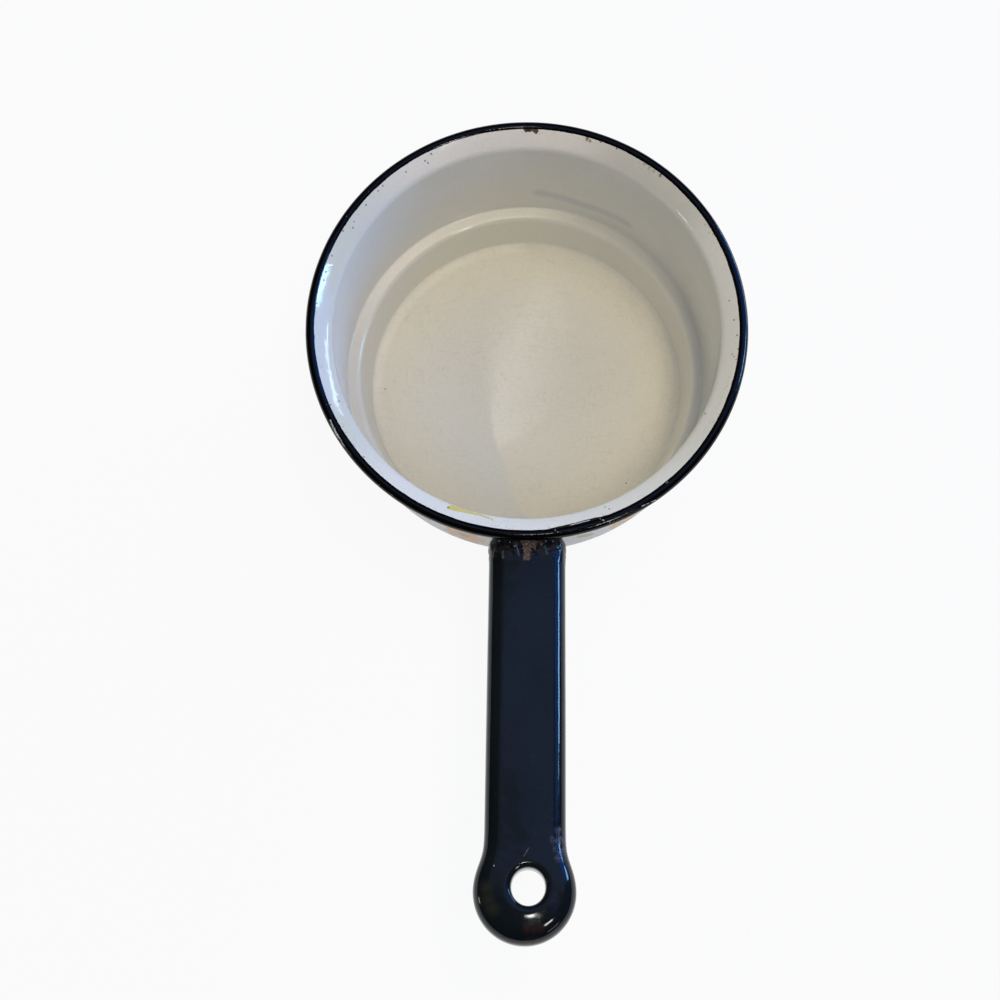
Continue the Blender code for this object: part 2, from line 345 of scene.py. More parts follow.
bpy.ops.object.select_all(action="DESELECT")
bpy.ops.mesh.primitive_circle_add(
    vertices=RING_POINTS, radius=BASE_RADIUS, fill_type="NGON", location=(0.0, 0.0, SHEET)
)
pan = bpy.context.object
pan.name = "enamelled_pan"
pan.data.materials.append(None)
pan.data.materials.append(None)
bpy.ops.object.transform_apply(location=True)
bpy.ops.object.mode_set(mode="EDIT")
grow_ring(BASE_RADIUS, SHEET, LOWER_RADIUS, STEP_HEIGHT)
grow_ring(LOWER_RADIUS, STEP_HEIGHT, WALL_RADIUS, STEP_HEIGHT)
grow_ring(WALL_RADIUS, STEP_HEIGHT, WALL_RADIUS, BEND_START)
lip_start = grow_arc((WALL_RADIUS, BEND_START), 90.0, -LIP_BEND_TURN, LIP_BEND, 12)
grow_arc(lip_start, 90.0 - LIP_BEND_TURN, -LIP_CROWN_TURN, LIP_CROWN, 8)
round_ring(BASE_RADIUS, SHEET, BASE_ROUND, 8)
round_ring(LOWER_RADIUS, STEP_HEIGHT, STEP_EDGE_ROUND, 8)
round_ring(WALL_RADIUS, STEP_HEIGHT, STEP_FOOT_ROUND, 6)
pick("FACE", lambda p: reach(p) < BASE_RADIUS - 0.0024 and near(p.z, SHEET))
bpy.ops.mesh.inset(thickness=0.0008)
bpy.ops.mesh.inset(thickness=0.0300)
bpy.ops.mesh.select_all(action="SELECT")
bpy.ops.mesh.remove_doubles(threshold=0.000005)
bpy.ops.mesh.normals_make_consistent(inside=False)
bpy.ops.object.mode_set(mode="OBJECT")
sheet = pan.modifiers.new("sheet", "SOLIDIFY")
sheet.thickness = SHEET
sheet.offset = -1.0
sheet.use_even_offset = True
sheet.material_offset = 1
sheet.material_offset_rim = 0
bpy.ops.object.modifier_apply(modifier="sheet")
bpy.ops.object.shade_smooth_by_angle(angle=math.radians(40.0))


PEEL = 0.15


def add_bump(shader, height, depth):
    """Bends the shader's light by a height field, which is this deep at a height of 1."""
    bump = height.node("ShaderNodeBump", {"Height": height, "Strength": 1.0, "Distance": depth})
    feed(shader, "Normal", bump)


def enamel_bump(shader, place, scale, depth):
    """The slow waves and fine orange peel of fired enamel."""
    add_bump(shader, place.noise(scale, 2.0) + place.noise(scale * 9.0, 1.0) * PEEL, depth)


def axes(place):
    """The position's x, y and z."""
    parts = place.node("ShaderNodeSeparateXYZ", {"Vector": place}).socket.node.outputs
    return [Wire(place.graph, parts[name]) for name in "XYZ"]


def polar(x, y):
    """The radius and the angle round the pan, with angle 0 over the handle."""
    return x.maths("SQRT", x * x + y * y), x.maths("ARCTAN2", x, y * -1.0)


def dots(place, scale, size):
    """Small scattered dots: 1 in each dot."""
    cells = place.node("ShaderNodeTexVoronoi", {"Vector": place, "Scale": scale, "Randomness": 1.0})
    return cells.step(size, size * 0.5)


def ring_point(degrees, radius):
    """A point of the plan, by its angle from the handle towards +X and its radius in mm."""
    angle = math.radians(degrees)
    return (radius * 0.001 * math.sin(angle), -radius * 0.001 * math.cos(angle), 0.0)


def ring_points(*places):
    """Points of the plan, each by its angle and its radius in mm."""
    return [ring_point(*spot) for spot in places]


def line_gap(place, start, end):
    """The distance of a position from the straight line between two points."""
    way = Vector(end) - Vector(start)
    out = place.vector("SUBTRACT", start)
    along = out.vector("DOT_PRODUCT", tuple(way), output=1)
    share = place.maths("MULTIPLY", along, 1.0 / way.length_squared, clamp=True)
    reach_out = out.vector("DOT_PRODUCT", out, output=1)
    square = reach_out - share * along * 2.0 + share * share * way.length_squared
    return place.maths("SQRT", place.maths("MAXIMUM", square, 0.0))


# Inner skin: cream white enamel, scoured on the base and whiter on the lip, with painted light and
# painted shade over parts of its lip, shelf, walls and base.
white_inside, tree, shader, place = finish("white_enamel_inside")
x, y, z = axes(place)
radius, angle = polar(x, y)
plan = place.vector("MULTIPLY", (1.0, 1.0, 0.0))
ragged = plan.shaken(1100.0, 0.0014)
lip = z.step(0.0775, 0.0805)
base = z.step(0.0040, 0.0022)
shelf = radius.step(0.0744, 0.0756) * z.step(0.0226, 0.0218)
CREAM = (0.70, 0.670, 0.575)
LIGHT_CREAM = (0.73, 0.705, 0.610)
colour = place.noise(18.0, 3.0).step(0.3, 0.7).blend(CREAM, LIGHT_CREAM)
colour = (lip * 0.8).blend(colour, (0.74, 0.72, 0.665))
# Painted light and shade on the lip: the far lip is painted lighter and warmer, the left lip darker
# and less blue, the far right lip darker, and the near lip lighter, partly its own cleaner white
# and partly painted light.
colour = (lip * y.step(0.045, 0.075) * 0.8).blend(colour, (0.83, 0.77, 0.66))
colour = (lip * x.step(-0.045, -0.080) * 0.9).blend(colour, (0.63, 0.64, 0.55))
painted_shade_far_right_lip = lip * angle.step(1.95, 2.3) * angle.step(2.95, 2.6)
colour = (painted_shade_far_right_lip * 0.8).blend(colour, (0.56, 0.54, 0.47))
colour = (lip * y.step(-0.045, -0.072) * 0.8).blend(colour, (0.80, 0.785, 0.725))
# Painted light: the shelf is painted brighter on its far and far left parts, where light falls on
# it.
painted_light_on_shelf = shelf * (angle.step(-1.6, -2.5) + angle.step(2.7, 3.1))
colour = (painted_light_on_shelf * 0.9).blend(colour, (0.93, 0.885, 0.76))
# Painted light: the left wall is painted bluer, standing in for the blue window light on it.
painted_blue_light_left_wall = z.step(0.024, 0.050) * (1.0 - lip) * x.step(-0.035, -0.070)
colour = (painted_blue_light_left_wall * 0.8).blend(colour, (0.685, 0.73, 0.72))
# Painted shade: the upper right wall is painted darker.
painted_shade_right_top = z.step(0.050, 0.068) * (1.0 - lip) * x.step(0.045, 0.070)
colour = (painted_shade_right_top * 0.7).blend(colour, (0.66, 0.64, 0.55))

# The base is painted lighter than the walls and creamier near its edge, partly its own cream and
# partly painted light. Left of its middle, a soft bow of painted light and painted shade parts a
# duller field from a brighter one.
low_wall = (z - 0.0040).step(0.0, 0.0005) * z.step(0.0212, 0.0204)
colour = (low_wall * 0.8).blend(colour, (0.72, 0.69, 0.575))
# Painted light: the low wall's right side is painted brighter.
colour = (low_wall * x.step(0.035, 0.060) * 0.8).blend(colour, (0.80, 0.755, 0.615))
# Partly the base's own cream and partly painted light: the base is lighter than the walls, and
# creamier near its edge.
colour = base.blend(colour, (0.755, 0.72, 0.635))
colour = (base * radius.step(0.040, 0.058) * 0.8).blend(colour, (0.775, 0.73, 0.595))
# Painted light and shade: the field right of the bow, brightest in a lens, is painted lighter, and
# the field left of it, towards the near side, darker and cooler.
bow_y = y + 0.006
from_bow = x - (bow_y * bow_y * 5.5 - 0.0165)
from_bow = from_bow + (plan.noise(60.0, 3.0) - 0.5) * 0.006
reach_of_bow = tree.maths("ABSOLUTE", from_bow)
soft_end = y.step(-0.020, 0.040) * 0.010
soft_end = soft_end + 0.0012
painted_lit_side = tree.maths("DIVIDE", from_bow + soft_end, soft_end * 2.0, clamp=True)
middle = tree.maths("ABSOLUTE", y - 0.006).step(0.062, 0.020)
fade = base * reach_of_bow.step(0.040, 0.004)
right_bow = y - 0.012
near_pull = tree.maths("MINIMUM", right_bow, 0.0)
from_right = 0.0222 - right_bow * right_bow * 6.8 - near_pull * near_pull * 13.2 - x
from_right = from_right + (plan.noise(75.0, 3.0) - 0.5) * 0.006
lens = from_right.step(-0.0035, 0.0025) * 0.65 + 0.35
colour = (fade * painted_lit_side * middle * lens * 0.90).blend(colour, (0.88, 0.85, 0.77))
painted_shade_side = (1.0 - painted_lit_side) * y.step(0.030, -0.035)
colour = (fade * painted_shade_side * 0.75).blend(colour, (0.70, 0.70, 0.665))
# Painted highlight: a brighter crescent at the base's far left edge.
painted_highlight_far_edge = base * radius.step(0.0650, 0.0672) * angle.step(-1.0, -1.8)
colour = (painted_highlight_far_edge * 0.7).blend(colour, (0.86, 0.81, 0.68))

# Scouring marks run round the base, with short scratches across them.
SWIRL = 0.006
swirl = tree.node("ShaderNodeCombineXYZ", {0: x / radius * SWIRL, 1: y / radius * SWIRL, 2: radius})
rings = swirl.noise(900.0, 3.0, 0.65).step(0.42, 0.72)
across = plan.shaken(90.0, 0.006).noise(800.0, 2.0, 0.6, stretch=(0.22, 1.0, 1.0))
across = across.step(0.50, 0.72)
slanted = plan.shaken(70.0, 0.008).noise(700.0, 2.0, 0.6, stretch=(1.0, 0.25, 1.0))
slanted = slanted.step(0.54, 0.72)
rubbed = place.noise(45.0, 3.0, 0.6).step(0.35, 0.65)
scour = base * (rings * 0.13 + across * 0.22 + slanted * 0.20) * (rubbed * 0.6 + 0.4)
colour = scour.blend(colour, (0.55, 0.53, 0.47))
grit = place.noise(700.0, 3.0, 0.7).step(0.35, 0.75)
colour = (grit * 0.14).blend(colour, (0.52, 0.50, 0.46))

# Painted shade: a dark bluish line along the far right wall above the step.
SHADE_STREAK_BEND = (0.0243, 0.0760, 0.0335)
painted_shade_streak = tree.maths(
    "MINIMUM",
    line_gap(place, (0.0060, 0.0796, 0.0375), SHADE_STREAK_BEND),
    line_gap(place, SHADE_STREAK_BEND, (0.0450, 0.0659, 0.0350)),
)
colour = (painted_shade_streak.step(0.0050, 0.0005) * 0.30).blend(colour, (0.30, 0.34, 0.44))
# Chips, stains and pinholes that show bare steel or rust through the enamel.
STAIN = ring_points((145.0, 85.9), (143.4, 85.7), (141.9, 85.7))
SPOTS = ring_points((162.9, 85.6), (161.9, 85.3), (139.6, 85.6))
RING_STAIN = ring_points((120.4, 85.4), (119.2, 86.1), (118.0, 85.0), (116.9, 85.8))
CLUSTER = ring_points((81.4, 84.1), (80.6, 84.9), (79.8, 85.7), (79.0, 86.0))
for places, size, soft, share, shade in (
    (STAIN, 0.0012, 0.0010, 0.60, (0.36, 0.28, 0.16)),
    (SPOTS, 0.0009, 0.0006, 0.75, (0.16, 0.10, 0.06)),
    (RING_STAIN, 0.0006, 0.0005, 0.6, (0.30, 0.20, 0.12)),
    (CLUSTER, 0.0005, 0.0004, 0.8, (0.26, 0.15, 0.07)),
):
    colour = (ragged.marks(places, size, soft) * lip * share).blend(colour, shade)
# Pinholes lie along the lip, most of them on its left, and two low on the walls.
PINHOLES = ring_points(
    (-149.6, 84.1), (-150.1, 83.1), (-152.0, 85.2), (-143.2, 84.2), (-135.4, 85.2), (-133.4, 85.1),
    (-128.1, 84.8), (-122.1, 84.4), (-120.6, 83.6), (-118.0, 85.8), (-110.2, 85.3), (-105.2, 85.3),
    (-102.8, 85.1), (-95.6, 86.0), (-66.1, 86.0), (-66.9, 82.1), (-48.8, 85.7), (62.9, 80.8),
    (22.3, 82.0), (23.0, 83.7), (162.7, 86.0), (158.9, 86.0), (154.1, 86.0), (139.6, 86.0),
    (97.2, 83.3), (91.3, 84.3), (86.7, 85.3), (82.6, 86.0), (-89.0, 64.7), (44.9, 64.3),
)
pinholes = plan.shaken(1800.0, 0.0005).marks(PINHOLES, 0.00042, 0.00024)
colour = (pinholes * 0.85).blend(colour, (0.09, 0.065, 0.045))
peppered = plan.noise(70.0, 2.0).step(0.48, 0.60) * radius.step(0.0830, 0.0850)
specks = dots(place, 800.0, 0.22) * peppered
colour = (specks * 0.75).blend(colour, (0.13, 0.10, 0.075))
freckles = dots(place, 420.0, 0.07) * place.noise(40.0, 2.0).step(0.50, 0.60)
colour = (freckles * 0.45).blend(colour, (0.25, 0.20, 0.15))
RUST = ring_points((180.3, 86.0), (179.2, 86.0), (178.1, 86.0), (177.4, 85.5))
rust = ragged.marks(RUST, 0.0011, 0.0003)
colour = rust.blend(colour, (0.11, 0.050, 0.028))
rust_core = ragged.marks(ring_points((179.9, 86.1), (179.4, 85.7)), 0.0007, 0.0002)
colour = rust_core.blend(colour, (0.018, 0.012, 0.010))

# A stray stroke of the outside's yellow, drawn out thin round the lip over the handle's left.
# It dips at its middle and thins towards its right end.
degrees_round = angle * math.degrees(1.0)
along_stroke = degrees_round.step(-22.2, -9.0)
bent = degrees_round + 14.5
bent_right = tree.maths("MAXIMUM", bent, 0.0)
stroke_path = bent * bent * 0.000018 + bent_right * bent_right * 0.000026 + 0.08105
stroke_width = tree.maths("ABSOLUTE", radius - stroke_path)
stroke_width = stroke_width + (plan.noise(700.0, 2.0) - 0.5) * 0.0009
ends = degrees_round.step(-22.4, -21.8) * degrees_round.step(-8.8, -9.4)
stroke = (0.00120 - along_stroke * 0.00080 - stroke_width).step(-0.00012, 0.00012) * ends
yellow = along_stroke.blend((0.66, 0.50, 0.04), (0.62, 0.55, 0.12))
colour = (stroke * lip.step(0.0, 0.05) * 0.80).blend(colour, yellow)
colour = plan.marks(ring_points((-22.1, 82.2)), 0.00045).blend(colour, (0.16, 0.13, 0.03))

# The black of the rim laps over the lip's edge, further near the handle's right.
wave = (place.noise(260.0, 3.0) - 0.5) * 0.0012
lap = tree.maths("ABSOLUTE", angle - 0.245).step(0.17, 0.06)
black_edge = (radius + wave + lap * 0.0012 - 0.0863).step(0.0, 0.0001)
colour = black_edge.blend(colour, (0.010, 0.009, 0.008))
sliver = tree.maths("ABSOLUTE", radius + wave * 0.6 - 0.08575).step(0.00022, 0.00012)
sliver = sliver * angle.step(0.200, 0.206) * angle.step(0.300, 0.290)
colour = sliver.blend(colour, (0.62, 0.62, 0.62))
feed(shader, "Base Color", colour)
rough = place.noise(30.0, 3.0) * 0.06 + 0.10 + base * 0.30 + shelf * 0.02 + lip * -0.02
feed(shader, "Roughness", rough + rust * 0.5)
pits = pinholes + rust * 0.8 + specks * 0.4 + scour * 0.10
add_bump(shader, place.noise(45.0, 2.0) + place.noise(400.0, 1.0) * PEEL - pits * 0.5, 0.0004)

# Outer skin, with a ring of printed flowers above the step.
white_outside, tree, shader, place = finish("white_enamel_outside")
x, y, z = axes(place)
radius, angle = polar(x, y)
colour = place.noise(22.0, 3.0).step(0.3, 0.7).blend((0.64, 0.615, 0.55), (0.68, 0.655, 0.59))
FLOWERS = 7
PETALS = 5
FLOWER_HEIGHT = 0.033
FIRST_FLOWER = math.radians(19.0)
LEAVES = ((0.0200, 0.030, 0.6), (0.0290, 0.037, -0.5), (-0.0200, 0.034, -0.6))
half_turn = math.pi / FLOWERS
turned = tree.maths("WRAP", angle + FIRST_FLOWER, half_turn, -half_turn)
across = turned * OUTER_RADIUS
up = z - FLOWER_HEIGHT
away = tree.maths("SQRT", across * across + up * up)
round_flower = tree.maths("ARCTAN2", up, across)
lobes = tree.maths("ABSOLUTE", tree.maths("COSINE", round_flower * (PETALS / 2)))
edge = lobes * 0.0030 + 0.0075
wall = radius.step(OUTER_RADIUS - 0.0006, OUTER_RADIUS - 0.0003)
petal = (edge - away).step(0.0, 0.0004) * wall
gold = away.step(0.003, 0.010).blend((0.70, 0.27, 0.003), (0.76, 0.36, 0.003))
colour = petal.blend(colour, gold)
heart = away.step(0.0028, 0.0024) * wall
colour = heart.blend(colour, (0.28, 0.10, 0.01))
for side, height, lean in LEAVES:
    along = (across - side) * math.cos(lean) + (z - height) * math.sin(lean)
    thick = (z - height) * math.cos(lean) - (across - side) * math.sin(lean)
    leaf = tree.maths("SQRT", along * along * 0.16 + thick * thick).step(0.0022, 0.0019) * wall
    colour = leaf.blend(colour, (0.16, 0.30, 0.04))
chips = dots(place, 420.0, 0.08) * place.noise(40.0, 2.0).step(0.50, 0.60)
rubbed_base = z.step(0.0012, 0.0003) * place.noise(600.0, 3.0, 0.7).step(0.40, 0.70)
colour = (chips * 0.6).blend(colour, (0.16, 0.13, 0.11))
colour = (rubbed_base * 0.6).blend(colour, (0.22, 0.21, 0.20))
feed(shader, "Base Color", colour)
feed(shader, "Roughness", place.noise(30.0, 3.0) * 0.06 + 0.11 + rubbed_base * 0.3)
shader.inputs["Specular IOR Level"].default_value = 0.05
enamel_bump(shader, place, 45.0, 0.0004)

pan.data.materials[0] = white_inside
pan.data.materials[1] = white_outside
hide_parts("pan_body")
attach(pan, "root")


# Rolled rim: the sheet's edge curled into a bead and dipped in black enamel. The end of
# the curl leaves a groove under it, next to the lip.
BEAD_RADIUS = 0.00222
BEAD_CENTRE = 0.08775
BEAD_HEIGHT = 0.0830
GROOVE_DEPTH = 0.0005

bpy.ops.object.select_all(action="DESELECT")
bpy.ops.mesh.primitive_torus_add(
    major_radius=BEAD_CENTRE,
    minor_radius=BEAD_RADIUS,
    major_segments=240,
    minor_segments=32,
    location=(0.0, 0.0, BEAD_HEIGHT),
)
bead = bpy.context.object
bead.name = "black_rolled_rim"
bpy.ops.object.transform_apply(location=True)
bpy.ops.object.mode_set(mode="EDIT")


def bead_turn(point):
    """Degrees round the bead's section, from its outer side upwards."""
    return math.degrees(math.atan2(point.z - BEAD_HEIGHT, reach(point) - BEAD_CENTRE))


# The groove runs under the bead, on its inner side.
pick("FACE", lambda p: -147.0 < bead_turn(p) < -123.0)
bpy.ops.mesh.extrude_region_shrink_fatten(
    TRANSFORM_OT_shrink_fatten={"value": -GROOVE_DEPTH, "use_even_offset": True}
)
bpy.ops.object.mode_set(mode="OBJECT")
clouds = bpy.data.textures.new("enamel_runs", type="CLOUDS")
clouds.noise_scale = 0.006
runs = bead.modifiers.new("runs", "DISPLACE")
runs.texture = clouds
runs.strength = 0.00007
runs.mid_level = 0.5
bpy.ops.object.modifier_apply(modifier="runs")
bpy.ops.object.shade_smooth_by_angle(angle=math.radians(50.0))


def bead_point(degrees, section):
    """A point on the bead, by its angle from the handle and its angle round the section."""
    section = math.radians(section)
    x, y, z = ring_point(degrees, (BEAD_CENTRE + BEAD_RADIUS * math.cos(section)) * 1000.0)
    return (x, y, BEAD_HEIGHT + BEAD_RADIUS * math.sin(section))


# Its enamel is chipped and scratched to white in a few places near the handle. Some of the white
# lines are painted highlights: the three at -62 to -54 degrees and the one at 31 to 35 degrees.
black_rim, tree, shader, place = finish("black_rim_enamel")
specks = dots(place, 700.0, 0.14) * place.noise(120.0, 2.0).step(0.60, 0.68)
dust = place.noise(350.0, 3.0, 0.7).step(0.60, 0.80) * 0.25
colour = dust.blend((0.002, 0.002, 0.0025), (0.016, 0.015, 0.014))
colour = specks.blend(colour, (0.30, 0.28, 0.25))
ragged = place.shaken(900.0, 0.0008)
scratches_and_glints = None
for first, last in (
    ((-62.2, 66), (-58.2, 58)), ((-58.2, 58), (-54.3, 47)), ((-61.0, 54), (-57.0, 44)),
    ((30.8, 59), (34.7, 29)), ((18.6, 152), (19.2, 144)), ((20.0, 100), (20.3, 92)),
):
    gap = line_gap(ragged, bead_point(*first), bead_point(*last))
    scratches_and_glints = gap if scratches_and_glints is None else tree.maths("MINIMUM", scratches_and_glints, gap)
broken = place.noise(600.0, 2.0).step(0.30, 0.42)
colour = (scratches_and_glints.step(0.00030, 0.00012) * broken * 0.8).blend(colour, (0.62, 0.64, 0.66))
WORN = (
    (-45.0, 27), (-40.6, 38), (-36.3, 41), (39.9, 110), (39.5, 113), (21.6, 52),
    (6.8, 146), (7.5, 111), (8.1, 86), (19.6, 120),
)
chips = ragged.marks([bead_point(*spot) for spot in WORN], 0.00032, 0.00016)
colour = (chips * 0.7).blend(colour, (0.38, 0.37, 0.35))
feed(shader, "Base Color", colour)
feed(shader, "Roughness", place.noise(80.0, 3.0) * 0.10 + 0.05 + chips * 0.4)
shader.inputs["Specular IOR Level"].default_value = 0.30
enamel_bump(shader, place, 160.0, 0.00015)
bead.data.materials.append(black_rim)
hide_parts("rim_bead")
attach(bead, "root")


# Handle: a hollow grip of two pressed shells. The upper one is a channel with rounded
# edges, a round crowned eye and a turned-down collar for hanging. Its plan is drawn with
# few points, from the hole outwards and then along the grip, and is then smoothed.
EYE_Y = -0.1422
EYE_OUTER = 0.0199
HOLE_X = 0.00135
HOLE_Y = -0.1406
HOLE_RADIUS = 0.00667
# Radii of two rings round the hole: the edge of its collar, and the highest line of the eye.
RIDGE = 0.0100
CROWN = 0.0142
WALL_Y = -0.0812
ROOT_HEIGHT = 0.0752
ROOT_SIDE = 0.0006
RISE = math.radians(5.0)
LEAN = math.radians(0.39)
GRIP_DEPTH = 0.0110
TRIM_RADIUS = 0.0806
EYE_POINTS = 16
# Half the grip's width at places along it. It flares at the root and then draws in to the weld.
ROWS = (
    (-0.1190, 0.01542),
    (-0.0950, 0.01542),
    (-0.0700, 0.01540),
    (-0.0450, 0.01535),
    (-0.0260, 0.01530),
    (-0.0160, 0.01530),
    (-0.0120, 0.01535),
    (-0.0094, 0.01560),
    (-0.0078, 0.01570),
    (-0.0063, 0.01500),
    (-0.0049, 0.01410),
    (-0.0034, 0.01390),
    (0.0040, 0.01390),
)


def from_hole(point):
    """The distance from the hole's middle, in plan."""
    return math.hypot(point.x - HOLE_X, point.y - HOLE_Y)


def from_eye(point):
    """The distance from the eye's middle, in plan."""
    return math.hypot(point.x, point.y - EYE_Y)


def sink_tip(distance, ring, depth):
    """Lowers a ring round the hole or the eye on the side of the tip."""
    for share in (0.1, -0.5):
        line = EYE_Y + share * ring
        pick("VERT", lambda p: near(distance(p), ring, 0.0004) and p.y < line)
        bpy.ops.transform.translate(value=(0.0, 0.0, -depth / 2))


def pick_edges(open_edge, test):
    """Selects the open edges, or those between a level and an upright face, that pass a test."""
    bpy.ops.mesh.select_mode(type="EDGE")
    bpy.ops.mesh.select_all(action="DESELECT")
    mesh = bpy.context.object.data
    shape = bmesh.from_edit_mesh(mesh)
    shape.normal_update()
    for edge in shape.edges:
        middle = (edge.verts[0].co + edge.verts[1].co) / 2
        level = sorted(abs(face.normal.z) for face in edge.link_faces)
        if open_edge:
            fits = len(level) == 1
        else:
            fits = len(level) == 2 and level[0] < 0.4 and level[1] > 0.8
        if fits and test(middle):
            edge.select_set(True)
    bmesh.update_edit_mesh(mesh)


def draw_shell(name, inset, way, crown, lip, depth, corner_round):
    """Draws one shell of the grip.

    way is 1 for the upper shell, whose face is on top, and -1 for the lower one. inset draws
    its plan in, and crown sinks the eye's tip. depth is how far its sides run from the face,
    and lip is the first part of that.
    """
    face = 0.0 if way > 0 else -GRIP_DEPTH
    hole = HOLE_RADIUS + inset
    outer = EYE_OUTER - inset
    bpy.ops.object.select_all(action="DESELECT")
    bpy.ops.mesh.primitive_circle_add(
        vertices=EYE_POINTS, radius=hole, fill_type="NOTHING", location=(HOLE_X, HOLE_Y, face)
    )
    shell = bpy.context.object
    shell.name = name
    bpy.ops.object.transform_apply(location=True)
    bpy.ops.object.mode_set(mode="EDIT")

    # From the hole out to the ridge, the crown and the edge of the eye.
    bpy.ops.mesh.select_all(action="SELECT")
    last_ring = hole
    for ring, shift in ((RIDGE + inset, 0.0), (CROWN, 0.3), (outer, 0.7)):
        bpy.ops.mesh.extrude_edges_move(
            TRANSFORM_OT_translate={"value": (-HOLE_X * shift, (EYE_Y - HOLE_Y) * shift, 0.0)}
        )
        bpy.ops.transform.resize(value=(ring / last_ring, ring / last_ring, 1.0))
        last_ring = ring

    # The points that turn from the eye into the neck move outwards.
    corner = outer * math.sin(math.pi / 4)
    for side in (-1.0, 1.0):
        neck = Vector((side * corner, EYE_Y + corner))
        pick("VERT", lambda p: near(p.x, neck.x, 0.0005) and near(p.y, neck.y, 0.0005))
        bpy.ops.transform.translate(value=(side * 0.0014, 0.0, 0.0))

    # The five points that face the pan are drawn out row by row.
    last_along = None
    for along, half in ROWS:
        half -= inset
        if last_along is None:
            limit = EYE_Y + corner - 0.0006
            pick("EDGE", lambda p: p.y > limit and from_eye(p) > outer * 0.9)
            bpy.ops.mesh.extrude_edges_move(TRANSFORM_OT_translate={"value": (0.0, 0.0140, 0.0)})
            bpy.ops.transform.resize(value=(1.0, 0.0, 1.0))
        else:
            bpy.ops.mesh.extrude_edges_move(
                TRANSFORM_OT_translate={"value": (0.0, along - last_along, 0.0)}
            )
        shape = bmesh.from_edit_mesh(shell.data)
        chosen = [corner_point for corner_point in shape.verts if corner_point.select]
        width = max(abs(point.co.x) for point in chosen)
        middle = sum(point.co.y for point in chosen) / len(chosen)
        bpy.ops.transform.resize(value=(half / width, 1.0, 1.0))
        bpy.ops.transform.translate(value=(0.0, along - middle, 0.0))
        last_along = along

    # The grip's face and, towards the tip, the eye are crowned. The hole is a little oval.
    if crown:
        sink_tip(from_eye, outer, crown)
        inner = outer * 0.85
        pick("VERT", lambda p: from_hole(p) > RIDGE * 1.2 and from_eye(p) < inner and p.y < EYE_Y)
        bpy.ops.transform.translate(value=(0.0, 0.0, -crown * 0.33))
        pick("VERT", lambda p: near(p.x, 0.0, 0.0005) and p.y > ROWS[0][0] - 0.0001)
        bpy.ops.transform.translate(value=(0.0, 0.0, 0.0004))
    pick("VERT", lambda p: from_hole(p) < hole * 1.1)
    bpy.ops.transform.resize(value=(0.97, 1.03, 1.0))

    # The sides and the hole's collar are turned away from the face.
    back = ROWS[-1][0]
    for sink in (lip, depth - lip):
        pick_edges(True, lambda p: p.y < back - 0.0001 and from_hole(p) > RIDGE)
        bpy.ops.mesh.extrude_edges_move(TRANSFORM_OT_translate={"value": (0.0, 0.0, -way * sink)})
    collar = min(lip, 0.0053)
    for sink in (collar, depth - collar):
        pick_edges(True, lambda p: from_hole(p) < RIDGE)
        bpy.ops.mesh.extrude_edges_move(TRANSFORM_OT_translate={"value": (0.0, 0.0, -way * sink)})
    pick_edges(False, lambda p: from_hole(p) > RIDGE)
    bpy.ops.mesh.bevel(offset=corner_round, segments=3, profile=0.5)
    pick("VERT", lambda p: p.y > -0.0125)
    bpy.ops.object.vertex_group_assign_new()
    bpy.ops.mesh.select_all(action="SELECT")
    bpy.ops.mesh.normals_make_consistent(inside=False)
    bpy.ops.object.mode_set(mode="OBJECT")
    return shell


def finish_shell(shell, roughness):
    """Smooths a shell, gives it its sheet, sets it at its slope and trims it to the wall.

    roughness is the height of the weld's lumps on its root.
    """
    smooth = shell.modifiers.new("smooth", "SUBSURF")
    smooth.levels = 3
    smooth.render_levels = 3
    bpy.ops.object.modifier_apply(modifier="smooth")
    clouds = bpy.data.textures.new("root_lumps", type="CLOUDS")
    clouds.noise_scale = 0.0025
    lumps = shell.modifiers.new("lumps", "DISPLACE")
    lumps.texture = clouds
    lumps.strength = roughness
    lumps.mid_level = 0.5
    lumps.vertex_group = shell.vertex_groups[0].name
    bpy.ops.object.modifier_apply(modifier="lumps")
    sheet = shell.modifiers.new("sheet", "SOLIDIFY")
    sheet.thickness = SHEET
    sheet.offset = -1.0
    bpy.ops.object.modifier_apply(modifier="sheet")
    shell.location = (ROOT_SIDE, WALL_Y, ROOT_HEIGHT)
    shell.rotation_euler = (-RISE, 0.0, -LEAN)
    bpy.ops.object.transform_apply(location=True, rotation=True)
    bpy.ops.mesh.primitive_cylinder_add(
        vertices=RING_POINTS, radius=TRIM_RADIUS, depth=0.2, location=(0.0, 0.0, 0.06)
    )
    cutter = bpy.context.object
    bpy.ops.object.select_all(action="DESELECT")
    shell.select_set(True)
    bpy.context.view_layer.objects.active = shell
    trim = shell.modifiers.new("trim", "BOOLEAN")
    trim.operation = "DIFFERENCE"
    trim.solver = "MANIFOLD"
    trim.object = cutter
    bpy.ops.object.modifier_apply(modifier="trim")
    bpy.data.objects.remove(cutter)
    shell.data.materials.clear()
    bpy.ops.object.shade_smooth_by_angle(angle=math.radians(50.0))


grip = draw_shell(
    "grip_upper_shell",
    inset=0.0,
    way=1,
    crown=0.0017,
    lip=0.0079,
    depth=GRIP_DEPTH,
    corner_round=0.0054,
)
finish_shell(grip, 0.0007)


def grip_points(*places):
    """Points of the plan on the handle, from their places in mm."""
    return [(x * 0.001, y * 0.001, 0.0) for x, y in places]


